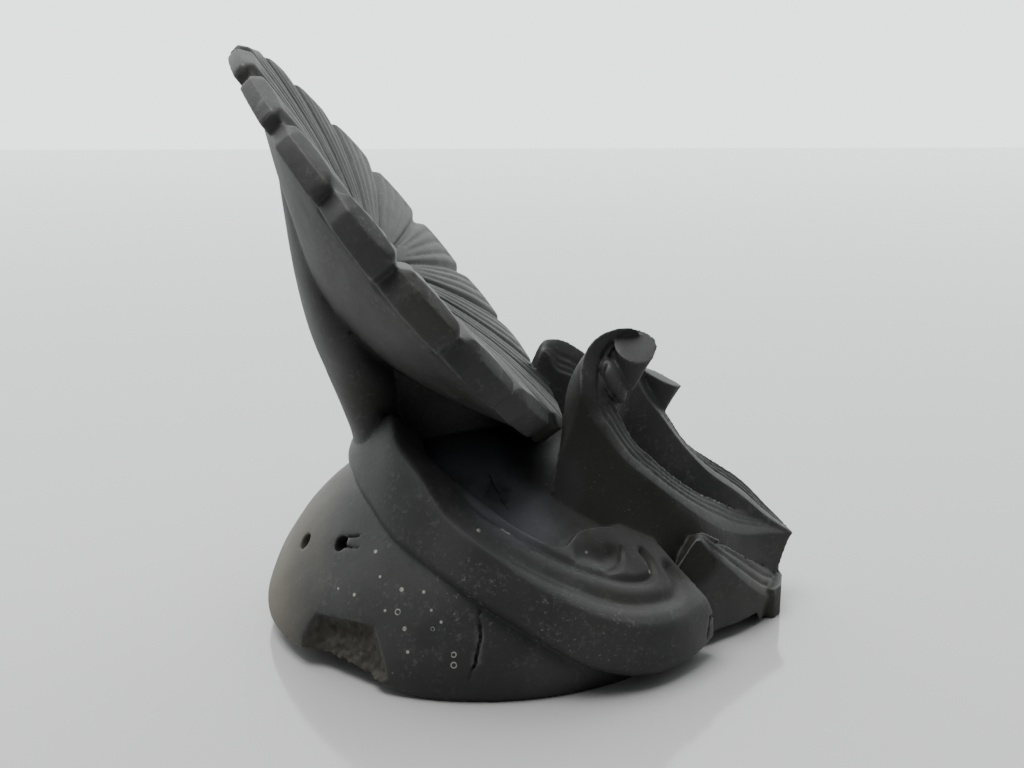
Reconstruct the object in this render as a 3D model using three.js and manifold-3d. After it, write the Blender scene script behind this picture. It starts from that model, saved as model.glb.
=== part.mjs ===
// Roof end tile: a fired clay hood with a chrysanthemum head standing over it, stream bands
// sweeping round both sides and a prow of breaking waves in front. Millimetres, +Z up, the
// flower faces +X, and the tile stands on its rim.
import * as THREE from 'three';
import { mergeVertices } from 'three/addons/utils/BufferGeometryUtils.js';
import Module from 'manifold-3d';

// Hood: part of a sphere whose centre lies below the foot of the rim
const hoodRadius = 113;
const hoodSink = 17.5;
const hoodWall = 14;
const rimTuck = 6;
const rimTuckHeight = 18;

// Arches cut in the rim, so that the tile straddles a ridge
const rearArchRise = 12;
const rearArchStart = -20;
const rearArchFull = -72;
const frontArchRise = 7;
const frontArchStart = 62;
const frontArchFull = 88;

// Wire holes, as bearing and height angle on the hood
const wireHoleBore = 8;
const wireHoles = [[-159, 35.4], [-141, 39.6]];

// A piece broken off the rim, as bearing and height angle of its corners on the hood
const chipCorners = [[-139, 23], [-120, 24.5], [-114, 13], [-126, 9], [-143, 13]];
const chipDepth = 5;

// Flower head
const flowerRadius = 115.5;
const flowerBack = 33;
const flowerRise = 188;
const flowerFacing = 39.7;
const petalCount = 18;
const petalPhase = -11.2;
const petalThickness = 15.5;
const petalTopThickness = 9.5;
const petalNotch = 5.5;
const petalGroove = 3.5;
const petalEdgeRound = 2.5;
const cupDepth = 24;
const bossRadius = 19;
const bossRise = 6;
const calyxRadius = 108.5;
const calyxTopRadius = 98;
const calyxDepth = 40;
const calyxTopDepth = 58;
const calyxCurve = 1.6;
const calyxTopCurve = 0.9;

// Facets
const hoodSegments = 52;
const petalSteps = 5;
const boreSides = 16;
const facetTolerance = 0.1;

const wasm = await Module();
wasm.setup();

const radians = THREE.MathUtils.degToRad;
const mix = THREE.MathUtils.lerp;

// Eases from 0 to 1 as x goes from start to full
function ease(x, start, full) {
  return THREE.MathUtils.smoothstep((x - start) / (full - start), 0, 1);
}

function solidFrom(geometry) {
  const bare = geometry.clone();
  bare.deleteAttribute('normal');
  bare.deleteAttribute('uv');
  const merged = mergeVertices(bare, 1e-4);
  return new wasm.Manifold(new wasm.Mesh({
    numProp: 3,
    vertProperties: new Float32Array(merged.attributes.position.array),
    triVerts: new Uint32Array(merged.index.array),
  }));
}

function signedVolume(points, faces) {
  let total = 0;
  for (const [a, b, c] of faces) {
    total += points[a].dot(points[b].clone().cross(points[c])) / 6;
  }
  return total;
}

// A closed solid through rings of points, each ring with as many points, capped at both ends
function loft(rings) {
  const size = rings[0].length;
  const points = rings.flat();
  const faces = [];
  for (let row = 0; row + 1 < rings.length; row++) {
    for (let k = 0; k < size; k++) {
      const a = row * size + k;
      const b = row * size + (k + 1) % size;
      faces.push([a, b, b + size], [a, b + size, a + size]);
    }
  }
  for (const [row, flip] of [[0, true], [rings.length - 1, false]]) {
    const centre = new THREE.Vector3();
    rings[row].forEach((point) => centre.addScaledVector(point, 1 / size));
    points.push(centre);
    for (let k = 0; k < size; k++) {
      const a = row * size + k;
      const b = row * size + (k + 1) % size;
      faces.push(flip ? [b, a, points.length - 1] : [a, b, points.length - 1]);
    }
  }
  if (signedVolume(points, faces) < 0) {
    faces.forEach((face) => face.reverse());
  }
  const geometry = new THREE.BufferGeometry().setFromPoints(points);
  geometry.setIndex(faces.flat());
  return solidFrom(geometry);
}

// The hood

// A point by bearing and height angle on a sphere about the hood's centre
function onHood(bearing, height, radius) {
  const b = radians(bearing);
  const h = radians(height);
  return new THREE.Vector3(
    radius * Math.cos(h) * Math.cos(b),
    radius * Math.cos(h) * Math.sin(b),
    radius * Math.sin(h) - hoodSink,
  );
}

function sphereCap(radius, segments, rows) {
  const floor = -hoodSink - 1;
  const start = Math.asin((floor + hoodSink) / radius);
  const outline = [new THREE.Vector2(0, floor)];
  for (let k = 0; k <= rows; k++) {
    const angle = mix(start, Math.PI / 2, k / rows);
    const height = radius * Math.sin(angle) - hoodSink;
    const low = Math.max(0, 1 - height / rimTuckHeight);
    const reach = k === rows ? 0 : radius * Math.cos(angle) - rimTuck * Math.min(low * low, 1);
    outline.push(new THREE.Vector2(reach, height));
  }
  const geometry = new THREE.LatheGeometry(outline, segments);
  geometry.rotateX(Math.PI / 2);
  return solidFrom(geometry);
}

// What is cut away under the rim: the floor line and the arches at the rear and the front
function underRim() {
  const reach = hoodRadius * 2;
  const steps = 8;
  const outline = new THREE.Shape();
  outline.moveTo(-reach, -reach);
  outline.lineTo(-reach, rearArchRise);
  for (let k = 0; k <= steps; k++) {
    const x = mix(rearArchFull, rearArchStart, k / steps);
    outline.lineTo(x, rearArchRise * ease(x, rearArchStart, rearArchFull));
  }
  for (let k = 0; k <= steps; k++) {
    const x = mix(frontArchStart, frontArchFull, k / steps);
    outline.lineTo(x, frontArchRise * ease(x, frontArchStart, frontArchFull));
  }
  const footStart = footPlan[0][0] * hoodRadius / 100 + frontArchRise;
  outline.lineTo(footStart - frontArchRise / 2, frontArchRise);
  outline.lineTo(footStart, 0);
  outline.lineTo(reach, 0);
  outline.lineTo(reach, -reach);
  outline.closePath();
  const geometry = new THREE.ExtrudeGeometry(outline, { depth: 2 * reach, bevelEnabled: false });
  geometry.translate(0, 0, -reach);
  geometry.rotateX(Math.PI / 2);
  return solidFrom(geometry);
}

function wireHole(bearing, height) {
  const middle = onHood(bearing, height, hoodRadius - hoodWall / 2);
  const out = onHood(bearing, height, hoodRadius).sub(onHood(bearing, height, 0)).normalize();
  const geometry = new THREE.CylinderGeometry(
    wireHoleBore / 2, wireHoleBore / 2, hoodWall * 3, boreSides,
  );
  const turn = new THREE.Quaternion().setFromUnitVectors(new THREE.Vector3(0, 1, 0), out);
  geometry.applyQuaternion(turn);
  geometry.translate(middle.x, middle.y, middle.z);
  return solidFrom(geometry);
}

// The broken place: a block with the corners drawn together at its bottom
function chip() {
  const heart = new THREE.Vector3();
  chipCorners.forEach(([b, h]) => heart.add(onHood(b, h, hoodRadius)));
  heart.divideScalar(chipCorners.length);
  const rings = [[-chipDepth, 0.72], [0, 1], [chipDepth, 1.1]].map(([rise, spread]) => (
    chipCorners.map(([b, h]) => {
      const corner = onHood(b, h, hoodRadius + rise);
      const middle = heart.clone().setLength(heart.length() + rise);
      return middle.lerp(corner, spread);
    })
  ));
  return loft(rings);
}

// The hollow under the tile: the inside of the hood and a lobe that runs on under the waves
function hollow() {
  const dome = sphereCap(hoodRadius - hoodWall, 36, 7);
  const lobe = new THREE.SphereGeometry(1, 18, 8);
  lobe.scale(0.5 * hoodRadius, 0.3 * hoodRadius, 0.33 * hoodRadius);
  lobe.translate(0.53 * hoodRadius, 0, 0);
  return dome.add(solidFrom(lobe));
}

// The flower

function flowerFrame() {
  const tilt = radians(flowerFacing);
  const facing = new THREE.Vector3(Math.cos(tilt), 0, Math.sin(tilt));
  const uphill = new THREE.Vector3(-Math.sin(tilt), 0, Math.cos(tilt));
  const frame = new THREE.Matrix4().makeBasis(uphill, new THREE.Vector3(0, -1, 0), facing);
  return frame.setPosition(-flowerBack, 0, flowerRise);
}

function cupHeight(radius) {
  return -cupDepth * Math.pow(1 - radius / flowerRadius, 1.8);
}

// A ring of the calyx, which is narrower, straighter and steeper on the uphill side, where
// uphill is 1
function calyxRow(share) {
  return {
    radius: (uphill) => share * mix(calyxRadius, calyxTopRadius, uphill),
    height: (uphill) => {
      const depth = mix(calyxDepth, calyxTopDepth, uphill * share);
      const curve = mix(calyxCurve, calyxTopCurve, uphill);
      return -petalEdge(uphill) - depth * (1 - Math.pow(share, curve));
    },
    petals: 0,
    groove: 0,
  };
}

function petalEdge(uphill) {
  return mix(petalThickness, petalTopThickness, uphill);
}

// Rows from the middle of the cup over the petal ends and back to the middle of the calyx:
// each gives a radius, a height and how far the petals and their grooves show in it
function flowerRows() {
  const tip = () => flowerRadius;
  const nearTip = () => flowerRadius - petalEdgeRound;
  const rows = [];
  for (const radius of [0.55 * bossRadius, bossRadius]) {
    const dome = bossRise * (1 - 0.35 * Math.pow(radius / bossRadius, 2));
    rows.push({ radius: () => radius, height: () => cupHeight(0) + dome, petals: 0, groove: 0 });
  }
  rows.push({
    radius: () => bossRadius * 1.08, height: () => cupHeight(bossRadius), petals: 0, groove: 0.5,
  });
  for (const share of [0.34, 0.52, 0.7, 0.88]) {
    const radius = flowerRadius * share;
    rows.push({
      radius: () => radius, height: () => cupHeight(radius), petals: 0.5, groove: 0.6 + 0.4 * share,
    });
  }
  rows.push({ radius: nearTip, height: () => -0.15 * petalEdgeRound, petals: 1, groove: 1 });
  rows.push({ radius: tip, height: () => -petalEdgeRound, petals: 1, groove: 0.8 });
  rows.push({
    radius: tip, height: (uphill) => -petalEdge(uphill) + petalEdgeRound, petals: 1, groove: 0,
  });
  rows.push({ radius: nearTip, height: (uphill) => -petalEdge(uphill), petals: 1, groove: 0 });
  rows.push({ ...calyxRow(0.99), petals: 0.3 });
  for (const share of [0.82, 0.6, 0.3]) {
    rows.push(calyxRow(share));
  }
  return rows;
}

function flower() {
  const count = petalCount * petalSteps;
  const rings = flowerRows().map(({ radius, height, petals, groove }) => {
    const ring = [];
    for (let k = 0; k < count; k++) {
      const valley = Math.pow(Math.abs(2 * ((k / petalSteps) % 1) - 1), 4);
      const angle = radians(petalPhase + 360 * k / count);
      const uphill = Math.max(0, Math.cos(angle));
      const reach = radius(uphill);
      const nearEdge = Math.pow(Math.min(reach / flowerRadius, 1), 6);
      const r = reach - petals * petalNotch * valley * nearEdge;
      const h = height(uphill) - groove * petalGroove * valley;
      ring.push(new THREE.Vector3(r * Math.cos(angle), r * Math.sin(angle), h));
    }
    return ring;
  });
  return loft(rings).transform(flowerFrame().toArray());
}

// The carving keeps its proportions: its points are in hundredths of the hood's radius
function share(x, y, z) {
  return new THREE.Vector3(x, y, z).multiplyScalar(hoodRadius / 100);
}

// A curve through points of the carving, read at a share of its length
function rail(points) {
  return new THREE.CatmullRomCurve3(points.map((point) => new THREE.Vector3(...point)));
}

// Upright ovals, one above another: height, back, front and half width
const stemOvals = [
  [62, -58, -28, 26],
  [80, -57, -32, 27],
  [93, -61, -36, 25],
  [108, -66.5, -36, 30],
  [122, -71.5, -40, 38],
  [135, -75.3, -42, 42],
  [150, -78.5, -46, 40],
  [166, -81, -54, 32],
  [182, -83.2, -68, 20],
  [196, -85, -78, 9],
];
const webOvals = [
  [68, -50, 20, 13],
  [84, -48, 12, 12],
  [96, -46, 4, 13],
  [108, -46, -8, 17],
  [120, -46, -20, 20],
];
const ovalSides = 22;

function uprightLoft(ovals) {
  const rings = ovals.map(([height, back, front, half]) => {
    const ring = [];
    for (let k = 0; k < ovalSides; k++) {
      const angle = 2 * Math.PI * k / ovalSides;
      const x = mix(back, front, 0.5 + 0.5 * Math.cos(angle));
      ring.push(share(x, half * Math.sin(angle), height));
    }
    return ring;
  });
  return loft(rings);
}

// A stream band along the side of the hood, from behind the stem to the front: rails of
// bearing, height angle and radius for its lower edge, its ridge and its inner edge
const bandLower = [
  [-200, 55, 100], [-163, 54.5, 100], [-139, 50.5, 101], [-121, 43.5, 101], [-106, 37.5, 101],
  [-94, 31, 102], [-80, 23, 103], [-66, 14.5, 104], [-54, 11, 106], [-42, 10.5, 106], [-33, 11, 106],
];
const bandRidge = [
  [-200, 60, 109], [-169, 60, 110], [-147, 67, 121], [-130, 61.5, 117], [-115, 56, 114],
  [-104, 48.5, 112], [-94, 42.5, 112], [-80, 33, 113], [-67, 26, 114], [-52, 22, 114], [-36, 22.5, 114],
];
const bandInner = [
  [-200, 66, 106], [-165, 68, 108], [-140, 70, 109], [-126, 66, 106], [-112, 62.5, 104.5],
  [-101, 58, 104], [-90, 52, 104], [-79, 45.8, 103], [-69, 42, 103], [-61.5, 44.8, 103],
  [-50, 50, 100],
];
const bandSteps = 24;
const bandGrooves = 2;
const bandGrooveDepth = 2.4;
const bandProud = 5;
const bandSoleShare = 0.92;

function streamBand() {
  const onRail = (curve, t) => {
    const { x, y, z } = curve.getPoint(t);
    return onHood(x, y, z * hoodRadius / 100);
  };
  const heart = new THREE.Vector3(0, 0, -hoodSink);
  const [lower, ridge, inner] = [bandLower, bandRidge, bandInner].map(rail);
  const rings = [];
  for (let k = 0; k <= bandSteps; k++) {
    const t = k / bandSteps;
    const low = onRail(lower, t);
    const high = onRail(ridge, t);
    const end = onRail(inner, t);
    const out = high.clone().sub(heart).normalize();
    const ring = [low];
    for (const [up, proud] of [[0.16, 1], [0.55, 0.9], [0.93, 0.25]]) {
      ring.push(low.clone().lerp(high, up).addScaledVector(out, proud * bandProud));
    }
    for (let g = 0; g <= 2 * bandGrooves; g++) {
      const dip = g % 2 === 1 ? bandGrooveDepth * (1 - ease(t, 0.75, 0.95)) : 0;
      const across = mix(0.07, 1, g / (2 * bandGrooves));
      ring.push(high.clone().lerp(end, across).addScaledVector(out, -dip));
    }
    for (const edge of [end, low]) {
      ring.push(edge.clone().sub(heart).setLength(hoodRadius * bandSoleShare).add(heart));
    }
    rings.push(ring);
  }
  return loft(rings);
}

// The waves: each is a wall between four rails, the outer and inner edges of its top face and
// of its foot, from behind the crest down to the prow
const nearWave = {
  outer: [[60, -31, 131.8], [51, -31, 130.6], [43, -32, 126.5], [38, -36, 119], [37, -41, 110],
    [40, -41, 99], [46, -41, 90], [56, -41, 78], [68, -41, 68], [84, -36, 55], [98, -28, 44],
    [112, -18, 37], [125, -10, 34], [137, -4, 32]],
  inner: [[61, -27, 127], [58, -28, 124], [55, -28, 119], [53, -27, 113], [52, -28, 108],
    [52, -29, 102], [55, -30, 95], [61, -30, 84], [72, -30, 73], [88, -24, 60], [102, -13, 51],
    [113, -7, 44], [125, -4, 39], [137, -3, 32]],
  innerFoot: [[58, -22, 124], [52, -20, 122], [46, -18, 114], [42, -20, 98], [41, -24, 78],
    [43, -25, 62], [48, -25, 56], [57, -24, 50], [70, -22, 44], [86, -20, 38], [102, -16, 33],
    [112, -10, 29], [122, -5, 26], [130, -3, 24]],
  outerFoot: [[60, -22, 127], [50, -20, 126], [42, -20, 120], [34, -24, 108], [29, -42, 92],
    [26, -50, 74], [32, -56, 58], [50, -56, 49], [66, -51, 40], [86, -43, 31], [101, -36, 24],
    [111, -27, 21], [122, -15, 17], [130, -8, 14]],
};
const middleWave = {
  outer: [[60, -4, 100], [66, -5, 109], [66, -5, 103], [70, -5, 96], [77, -5, 87], [86, -5, 75],
    [98, -5, 62], [113, -5, 51], [126, -5, 40], [138, -4, 32]],
  inner: [[61, 4, 100], [68, 4, 108], [71, 4, 101], [75, 4, 95], [81, 4, 86], [90, 4, 73],
    [103, 9, 63], [117, 11, 53], [129, 9, 41], [138, 4, 32]],
  innerFoot: [[50, 12, 58], [54, 13, 56], [60, 14, 54], [68, 14, 50], [76, 14, 46], [88, 14, 40],
    [102, 14, 35], [115, 13, 30], [124, 9, 26], [131, 4, 22]],
  outerFoot: [[50, -14, 58], [54, -14, 56], [60, -14, 54], [68, -14, 50], [76, -14, 46],
    [88, -13, 40], [102, -12, 35], [115, -10, 30], [124, -8, 26], [131, -6, 22]],
};
const farWave = {
  outer: [[21, 34, 97], [24, 34, 106], [29, 34, 114], [37, 34, 114], [46, 34, 109], [56, 35, 98],
    [67, 36, 85], [84, 36, 66], [98, 28, 51], [112, 18, 42], [125, 10, 36], [137, 4, 32]],
  inner: [[24, 28, 98], [25, 28, 105], [28, 28, 111], [34, 27, 101], [41, 27, 98], [50, 27, 90],
    [60, 27, 80], [79, 26, 65], [97, 19, 50], [112, 12, 40], [125, 6, 36], [137, 3, 32]],
  innerFoot: [[30, 24, 62], [33, 24, 60], [36, 24, 58], [40, 24, 56], [44, 24, 54], [50, 24, 52],
    [60, 24, 48], [78, 22, 42], [96, 17, 35], [110, 10, 29], [122, 5, 26], [130, 3, 24]],
  outerFoot: [[25, 52, 66], [28, 54, 62], [32, 56, 58], [38, 57, 54], [44, 57, 51], [52, 55, 48],
    [64, 51, 41], [84, 43, 32], [100, 36, 25], [111, 27, 21], [122, 15, 17], [130, 8, 14]],
};
// The small wave between the end of the band and the prow
const sideWave = {
  outer: [[72, -54, 30], [79, -51, 40], [85, -48, 46], [91, -46, 39], [98, -44, 33],
    [105, -41, 26], [112, -36, 19], [119, -30, 13], [126, -20, 9]],
  inner: [[74, -40, 32], [80, -40, 42], [87, -41, 47], [94, -39, 44], [100, -35, 39],
    [107, -30, 34], [114, -24, 28], [121, -17, 22], [128, -9, 16]],
  innerFoot: [[76, -24, 2], [82, -24, 2], [88, -24, 2], [94, -22, 2], [100, -20, 2], [106, -18, 2],
    [112, -14, 2], [118, -10, 2], [124, -6, 3]],
  outerFoot: [[74, -56, 2], [81, -55, 1], [87, -53, 0], [92, -51, 0], [97, -47, 0], [103, -43, 0],
    [110, -37, 0], [117, -30, 1], [125, -18, 3]],
};
const waveSteps = 17;
const waveGroove = 1.4;
const waveScoop = 0.08;

function wave({ outer, inner, innerFoot, outerFoot }) {
  const edges = [outer, inner, innerFoot, outerFoot].map(rail);
  const rings = [];
  for (let k = 0; k <= waveSteps; k++) {
    const t = edges[0].getUtoTmapping(k / waveSteps);
    const [a, b, c, d] = edges.map((edge) => share(...edge.getPoint(t).toArray()));
    const shoulder = a.clone().lerp(b, 0.45);
    const groove = a.clone().lerp(b, 0.7);
    groove.z -= waveGroove;
    const innerWall = b.clone().lerp(c, 0.5).lerp(a, waveScoop);
    const outerWall = d.clone().lerp(a, 0.5).lerp(b, waveScoop);
    rings.push([a, shoulder, groove, b, innerWall, c, d, outerWall]);
  }
  return loft(rings);
}

// A horn of a rolled crest: it widens upwards and ends in a slanting oval face
const horns = [
  { foot: [57, -32, 100], top: [60, -31, 124], wide: 8.6, deep: 7.4, slant: [-0.12, 0.78] },
  { foot: [77, 4, 80], top: [78, 6, 102.5], wide: 8.5, deep: 6, slant: [-0.5, 0.12] },
];
const hornSides = 18;
const hornCorner = { reach: 0.16, bearing: 20, spread: 28 };

function horn({ foot, top, wide, deep, slant }) {
  const rings = [0.25, 0.5, 0.75, 1].map((t) => {
    const ring = [];
    for (let k = 0; k < hornSides; k++) {
      const angle = 2 * Math.PI * k / hornSides;
      const away = (angle - radians(hornCorner.bearing)) / radians(hornCorner.spread);
      const reach = t * (1 + hornCorner.reach * Math.exp(-away * away));
      const x = wide * reach * Math.cos(angle);
      const y = deep * reach * Math.sin(angle);
      const lift = t * (slant[0] * x + slant[1] * y);
      ring.push(share(
        mix(foot[0], top[0], t) + x, mix(foot[1], top[1], t) + y, mix(foot[2], top[2], t) + lift,
      ));
    }
    return ring;
  });
  return loft(rings);
}

// The leaf in the fold between the near crest and its horn
const leafMiddle = [51.5, -31, 109];
const leafSize = [4.6, 6, 10];
const leafLean = 22;

function leaf() {
  const geometry = new THREE.SphereGeometry(1, 12, 8);
  geometry.scale(...share(...leafSize).toArray());
  geometry.rotateY(radians(-leafLean));
  geometry.translate(...share(...leafMiddle).toArray());
  return solidFrom(geometry);
}

// The core of the prow under the waves and the foot it stands on: half their outlines in plan,
// with the heights of their tops
const prowPlan = [
  [30, 50, 58], [60, 46, 48], [88, 37, 38], [104, 28, 30], [120, 14, 28], [132, 5, 28],
];
const prowSoleShare = 0.12;
const footPlan = [[112, 22], [125, 24.5], [129, 20], [133, 7]];
const footTopShare = 0.14;

function prismBetween(outline, bottom) {
  const halves = [-1, 1].map((side) => outline.map(([x, y, top]) => [x, side * y, top]));
  const plan = [...halves[0], ...halves[1].reverse()];
  const low = plan.map(([x, y]) => share(x, y, bottom));
  const high = plan.map(([x, y, top]) => share(x, y, top));
  return loft([low, high]);
}

function mirrored(solid) {
  return solid.mirror([0, 1, 0]);
}

function tile() {
  const band = streamBand();
  const side = wave(sideWave);
  const foot = prismBetween(footPlan.map(([x, y]) => [x, y, 100 * footTopShare]), -1);
  const added = [
    flower(), uprightLoft(stemOvals), uprightLoft(webOvals), band, mirrored(band),
    prismBetween(prowPlan, 100 * prowSoleShare), foot, wave(nearWave), wave(middleWave), wave(farWave),
    side, mirrored(side), leaf(), ...horns.map(horn),
  ];
  const removed = [hollow(), underRim(), chip(), ...wireHoles.map(([b, h]) => wireHole(b, h))];
  let body = sphereCap(hoodRadius, hoodSegments, 10);
  for (const solid of added) {
    body = body.add(solid);
  }
  for (const solid of removed) {
    body = body.subtract(solid);
  }
  return body.simplify(facetTolerance);
}

function geometryFrom(solid) {
  const { vertProperties, triVerts, numProp } = solid.getMesh();
  const positions = new Float32Array(vertProperties.length / numProp * 3);
  for (let k = 0; k < positions.length / 3; k++) {
    positions.set(vertProperties.subarray(k * numProp, k * numProp + 3), k * 3);
  }
  const geometry = new THREE.BufferGeometry();
  geometry.setAttribute('position', new THREE.BufferAttribute(positions, 3));
  geometry.setIndex(new THREE.BufferAttribute(new Uint32Array(triVerts), 1));
  geometry.computeVertexNormals();
  return geometry;
}

const smokedClay = new THREE.MeshStandardMaterial({
  color: 0x3a3b3a, roughness: 0.62, metalness: 0.0,
});
const mesh = new THREE.Mesh(geometryFrom(tile()), smokedClay);
mesh.name = 'roof_end_tile';
mesh.geometry.computeBoundingBox();
const box = mesh.geometry.boundingBox;
mesh.position.set(-(box.min.x + box.max.x) / 2, -(box.min.y + box.max.y) / 2, -box.min.z);

const group = new THREE.Group();
group.add(mesh);

export default group;
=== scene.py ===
# Roof end tile of smoked clay: a hood with stream bands, a prow of waves and a chrysanthemum head
import math

import bpy
import numpy as np
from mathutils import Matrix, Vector
from mathutils.kdtree import KDTree


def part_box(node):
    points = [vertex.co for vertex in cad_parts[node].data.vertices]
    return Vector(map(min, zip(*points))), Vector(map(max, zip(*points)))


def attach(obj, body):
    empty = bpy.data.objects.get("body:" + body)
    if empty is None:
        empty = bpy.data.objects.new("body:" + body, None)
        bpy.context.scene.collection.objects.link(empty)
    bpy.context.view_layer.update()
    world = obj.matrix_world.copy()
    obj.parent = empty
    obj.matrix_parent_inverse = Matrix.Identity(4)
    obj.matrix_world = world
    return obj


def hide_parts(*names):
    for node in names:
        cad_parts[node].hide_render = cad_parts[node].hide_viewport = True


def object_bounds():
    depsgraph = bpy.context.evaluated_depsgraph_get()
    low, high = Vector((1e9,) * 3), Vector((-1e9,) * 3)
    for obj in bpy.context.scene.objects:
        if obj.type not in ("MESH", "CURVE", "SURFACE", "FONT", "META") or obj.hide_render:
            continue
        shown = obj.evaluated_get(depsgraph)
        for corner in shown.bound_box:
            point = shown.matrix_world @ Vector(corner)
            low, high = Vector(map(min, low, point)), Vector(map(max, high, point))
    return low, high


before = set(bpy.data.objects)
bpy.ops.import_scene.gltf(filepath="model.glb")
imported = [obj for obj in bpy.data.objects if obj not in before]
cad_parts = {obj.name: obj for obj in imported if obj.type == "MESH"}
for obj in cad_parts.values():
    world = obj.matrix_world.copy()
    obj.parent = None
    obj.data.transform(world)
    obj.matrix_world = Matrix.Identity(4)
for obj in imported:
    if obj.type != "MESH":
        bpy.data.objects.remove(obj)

NODE = "roof_end_tile"
cad_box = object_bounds()

# The carving is measured in millimetres from the foot of the hood's axis
MM = 0.001
HOOD_REACH = 112.48
HOOD_RADIUS = 113.0
HOOD_SINK = 17.5
HOOD_WALL = 14.0
RIM_TUCK = 6.0
RIM_TUCK_HEIGHT = 18.0
HOOD_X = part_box(NODE)[0][0] + HOOD_REACH * MM

REAR_ARCH = {"rise": 9.0, "start": -20.0, "full": -72.0}
FRONT_ARCH = {"rise": 7.0, "start": 62.0, "full": 88.0}
ARCH_STEPS = 14
WIRE_HOLES = [(-159, 35.4), (-141, 39.6)]
WIRE_BORE = 8.0
CHIP_CORNERS = [(-139, 23), (-120, 24.5), (-114, 13), (-126, 9), (-143, 13)]
CHIP_DEPTH = 5.0
# The chip's cutter from its floor outwards: its rise, as a share of the depth, and its spread
CHIP_RINGS = [(-1, 0.72), (0, 1), (1, 1.1)]
# The hollow behind the prow, an egg measured in shares of the hood's radius
PROW_HOLLOW_SIZE = (0.5, 0.3, 0.33)
PROW_HOLLOW_X = 0.53

FLOWER_RADIUS = 115.5
FLOWER_BACK = 33.0
FLOWER_RISE = 188.0
FLOWER_FACING = 39.7
PETALS = 18
PETAL_PHASE = -11.2
PETAL_THICKNESS = 15.5
PETAL_TOP_THICKNESS = 9.5
PETAL_NOTCH = 5.5
PETAL_UPPER_BEVEL = 0.55
PETAL_LOWER_BEVEL = 0.14
PETAL_VALLEY = 3.2
PETAL_PILLOW = 1.3
PETAL_LINES = (-0.52, -0.08, 0.42)
PETAL_LINE_DEPTH = 1.1
PETAL_LIP = 4.0
PETAL_LIP_WIDTH = 6.5
PETAL_LINE_WIDTH = 0.085
PETAL_VALLEY_START = 0.7
PETAL_END_SLOPE = 1.2
PETAL_STEPS = 32
NOTCH_FADE = 6
CUP_DEPTH = 24.0
CUP_CURVE = 1.8
BOSS_RADIUS = 19.0
BOSS_RISE = 6.0
BOSS_SAG = 0.35
CALYX_RADIUS = 108.5
CALYX_TOP_RADIUS = 98.0
CALYX_DEPTH = 40.0
CALYX_TOP_DEPTH = 58.0
CALYX_CURVE = 1.6
CALYX_TOP_CURVE = 0.9
CALYX_STEP = 0.4

VOXEL = 0.7
TRIANGLES = 195000
FINE_SOFTNESS = 5.0
BROAD_SOFTNESS = 30.0
# How far a point stands from its smoothed place, in millimetres, where each mark starts and is full
WORN_EDGE_AND_HIGHLIGHT = (0.12, 0.6)
SHADED_GROOVE = (0.1, 0.55)
BROAD_HOLLOW = (0.2, 2.0)


def mix(a, b, t):
    return a + (b - a) * t


def smooth(x, start, full):
    t = np.clip((x - start) / (full - start), 0, 1)
    return t * t * (3 - 2 * t)


def only(thing):
    """Selects one object and nothing else."""
    bpy.ops.object.select_all(action='DESELECT')
    thing.select_set(True)
    bpy.context.view_layer.objects.active = thing
    return thing


def apply_modifier(thing, kind, **settings):
    only(thing)
    modifier = thing.modifiers.new(kind.title(), kind)
    for name, value in settings.items():
        setattr(modifier, name, value)
    bpy.ops.object.modifier_apply(modifier=modifier.name)


def settle(thing):
    """Puts an object's place into its mesh."""
    only(thing)
    bpy.ops.object.transform_apply(location=True, rotation=True, scale=True)
    return thing


def face_outward(thing):
    only(thing)
    bpy.ops.object.mode_set(mode='EDIT')
    bpy.ops.mesh.select_all(action='SELECT')
    bpy.ops.mesh.normals_make_consistent(inside=False)
    bpy.ops.object.mode_set(mode='OBJECT')
    return thing


def in_frame(points):
    """Points of the carving, in metres in the tile's frame."""
    return np.asarray(points) * MM + [HOOD_X, 0, 0]


def loft(name, rings):
    """A closed solid through rings of points, each with as many points, capped at both ends."""
    rings = np.asarray(rings, float)
    rows, size, _ = rings.shape
    points = np.concatenate([rings.reshape(-1, 3), rings[0].mean(0)[None], rings[-1].mean(0)[None]])
    k = np.arange(size)
    after = (k + 1) % size
    quads = []
    for row in range(rows - 1):
        low = row * size
        quads.append(np.stack([low + k, low + after, low + size + after, low + size + k], 1))
    last = (rows - 1) * size
    faces = np.concatenate(quads).tolist()
    faces += np.stack([after, k, np.full(size, rows * size)], 1).tolist()
    faces += np.stack([last + k, last + after, np.full(size, rows * size + 1)], 1).tolist()
    mesh = bpy.data.meshes.new(name)
    mesh.from_pydata(in_frame(points).tolist(), [], faces)
    thing = bpy.data.objects.new(name, mesh)
    bpy.context.collection.objects.link(thing)
    return face_outward(thing)


def on_hood(bearing, height, radius):
    """A point by bearing and height angle, in degrees, on a sphere about the hood's centre."""
    b = np.radians(bearing)
    h = np.radians(height)
    return np.stack([
        radius * np.cos(h) * np.cos(b), radius * np.cos(h) * np.sin(b), radius * np.sin(h) - HOOD_SINK,
    ], -1)


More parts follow.
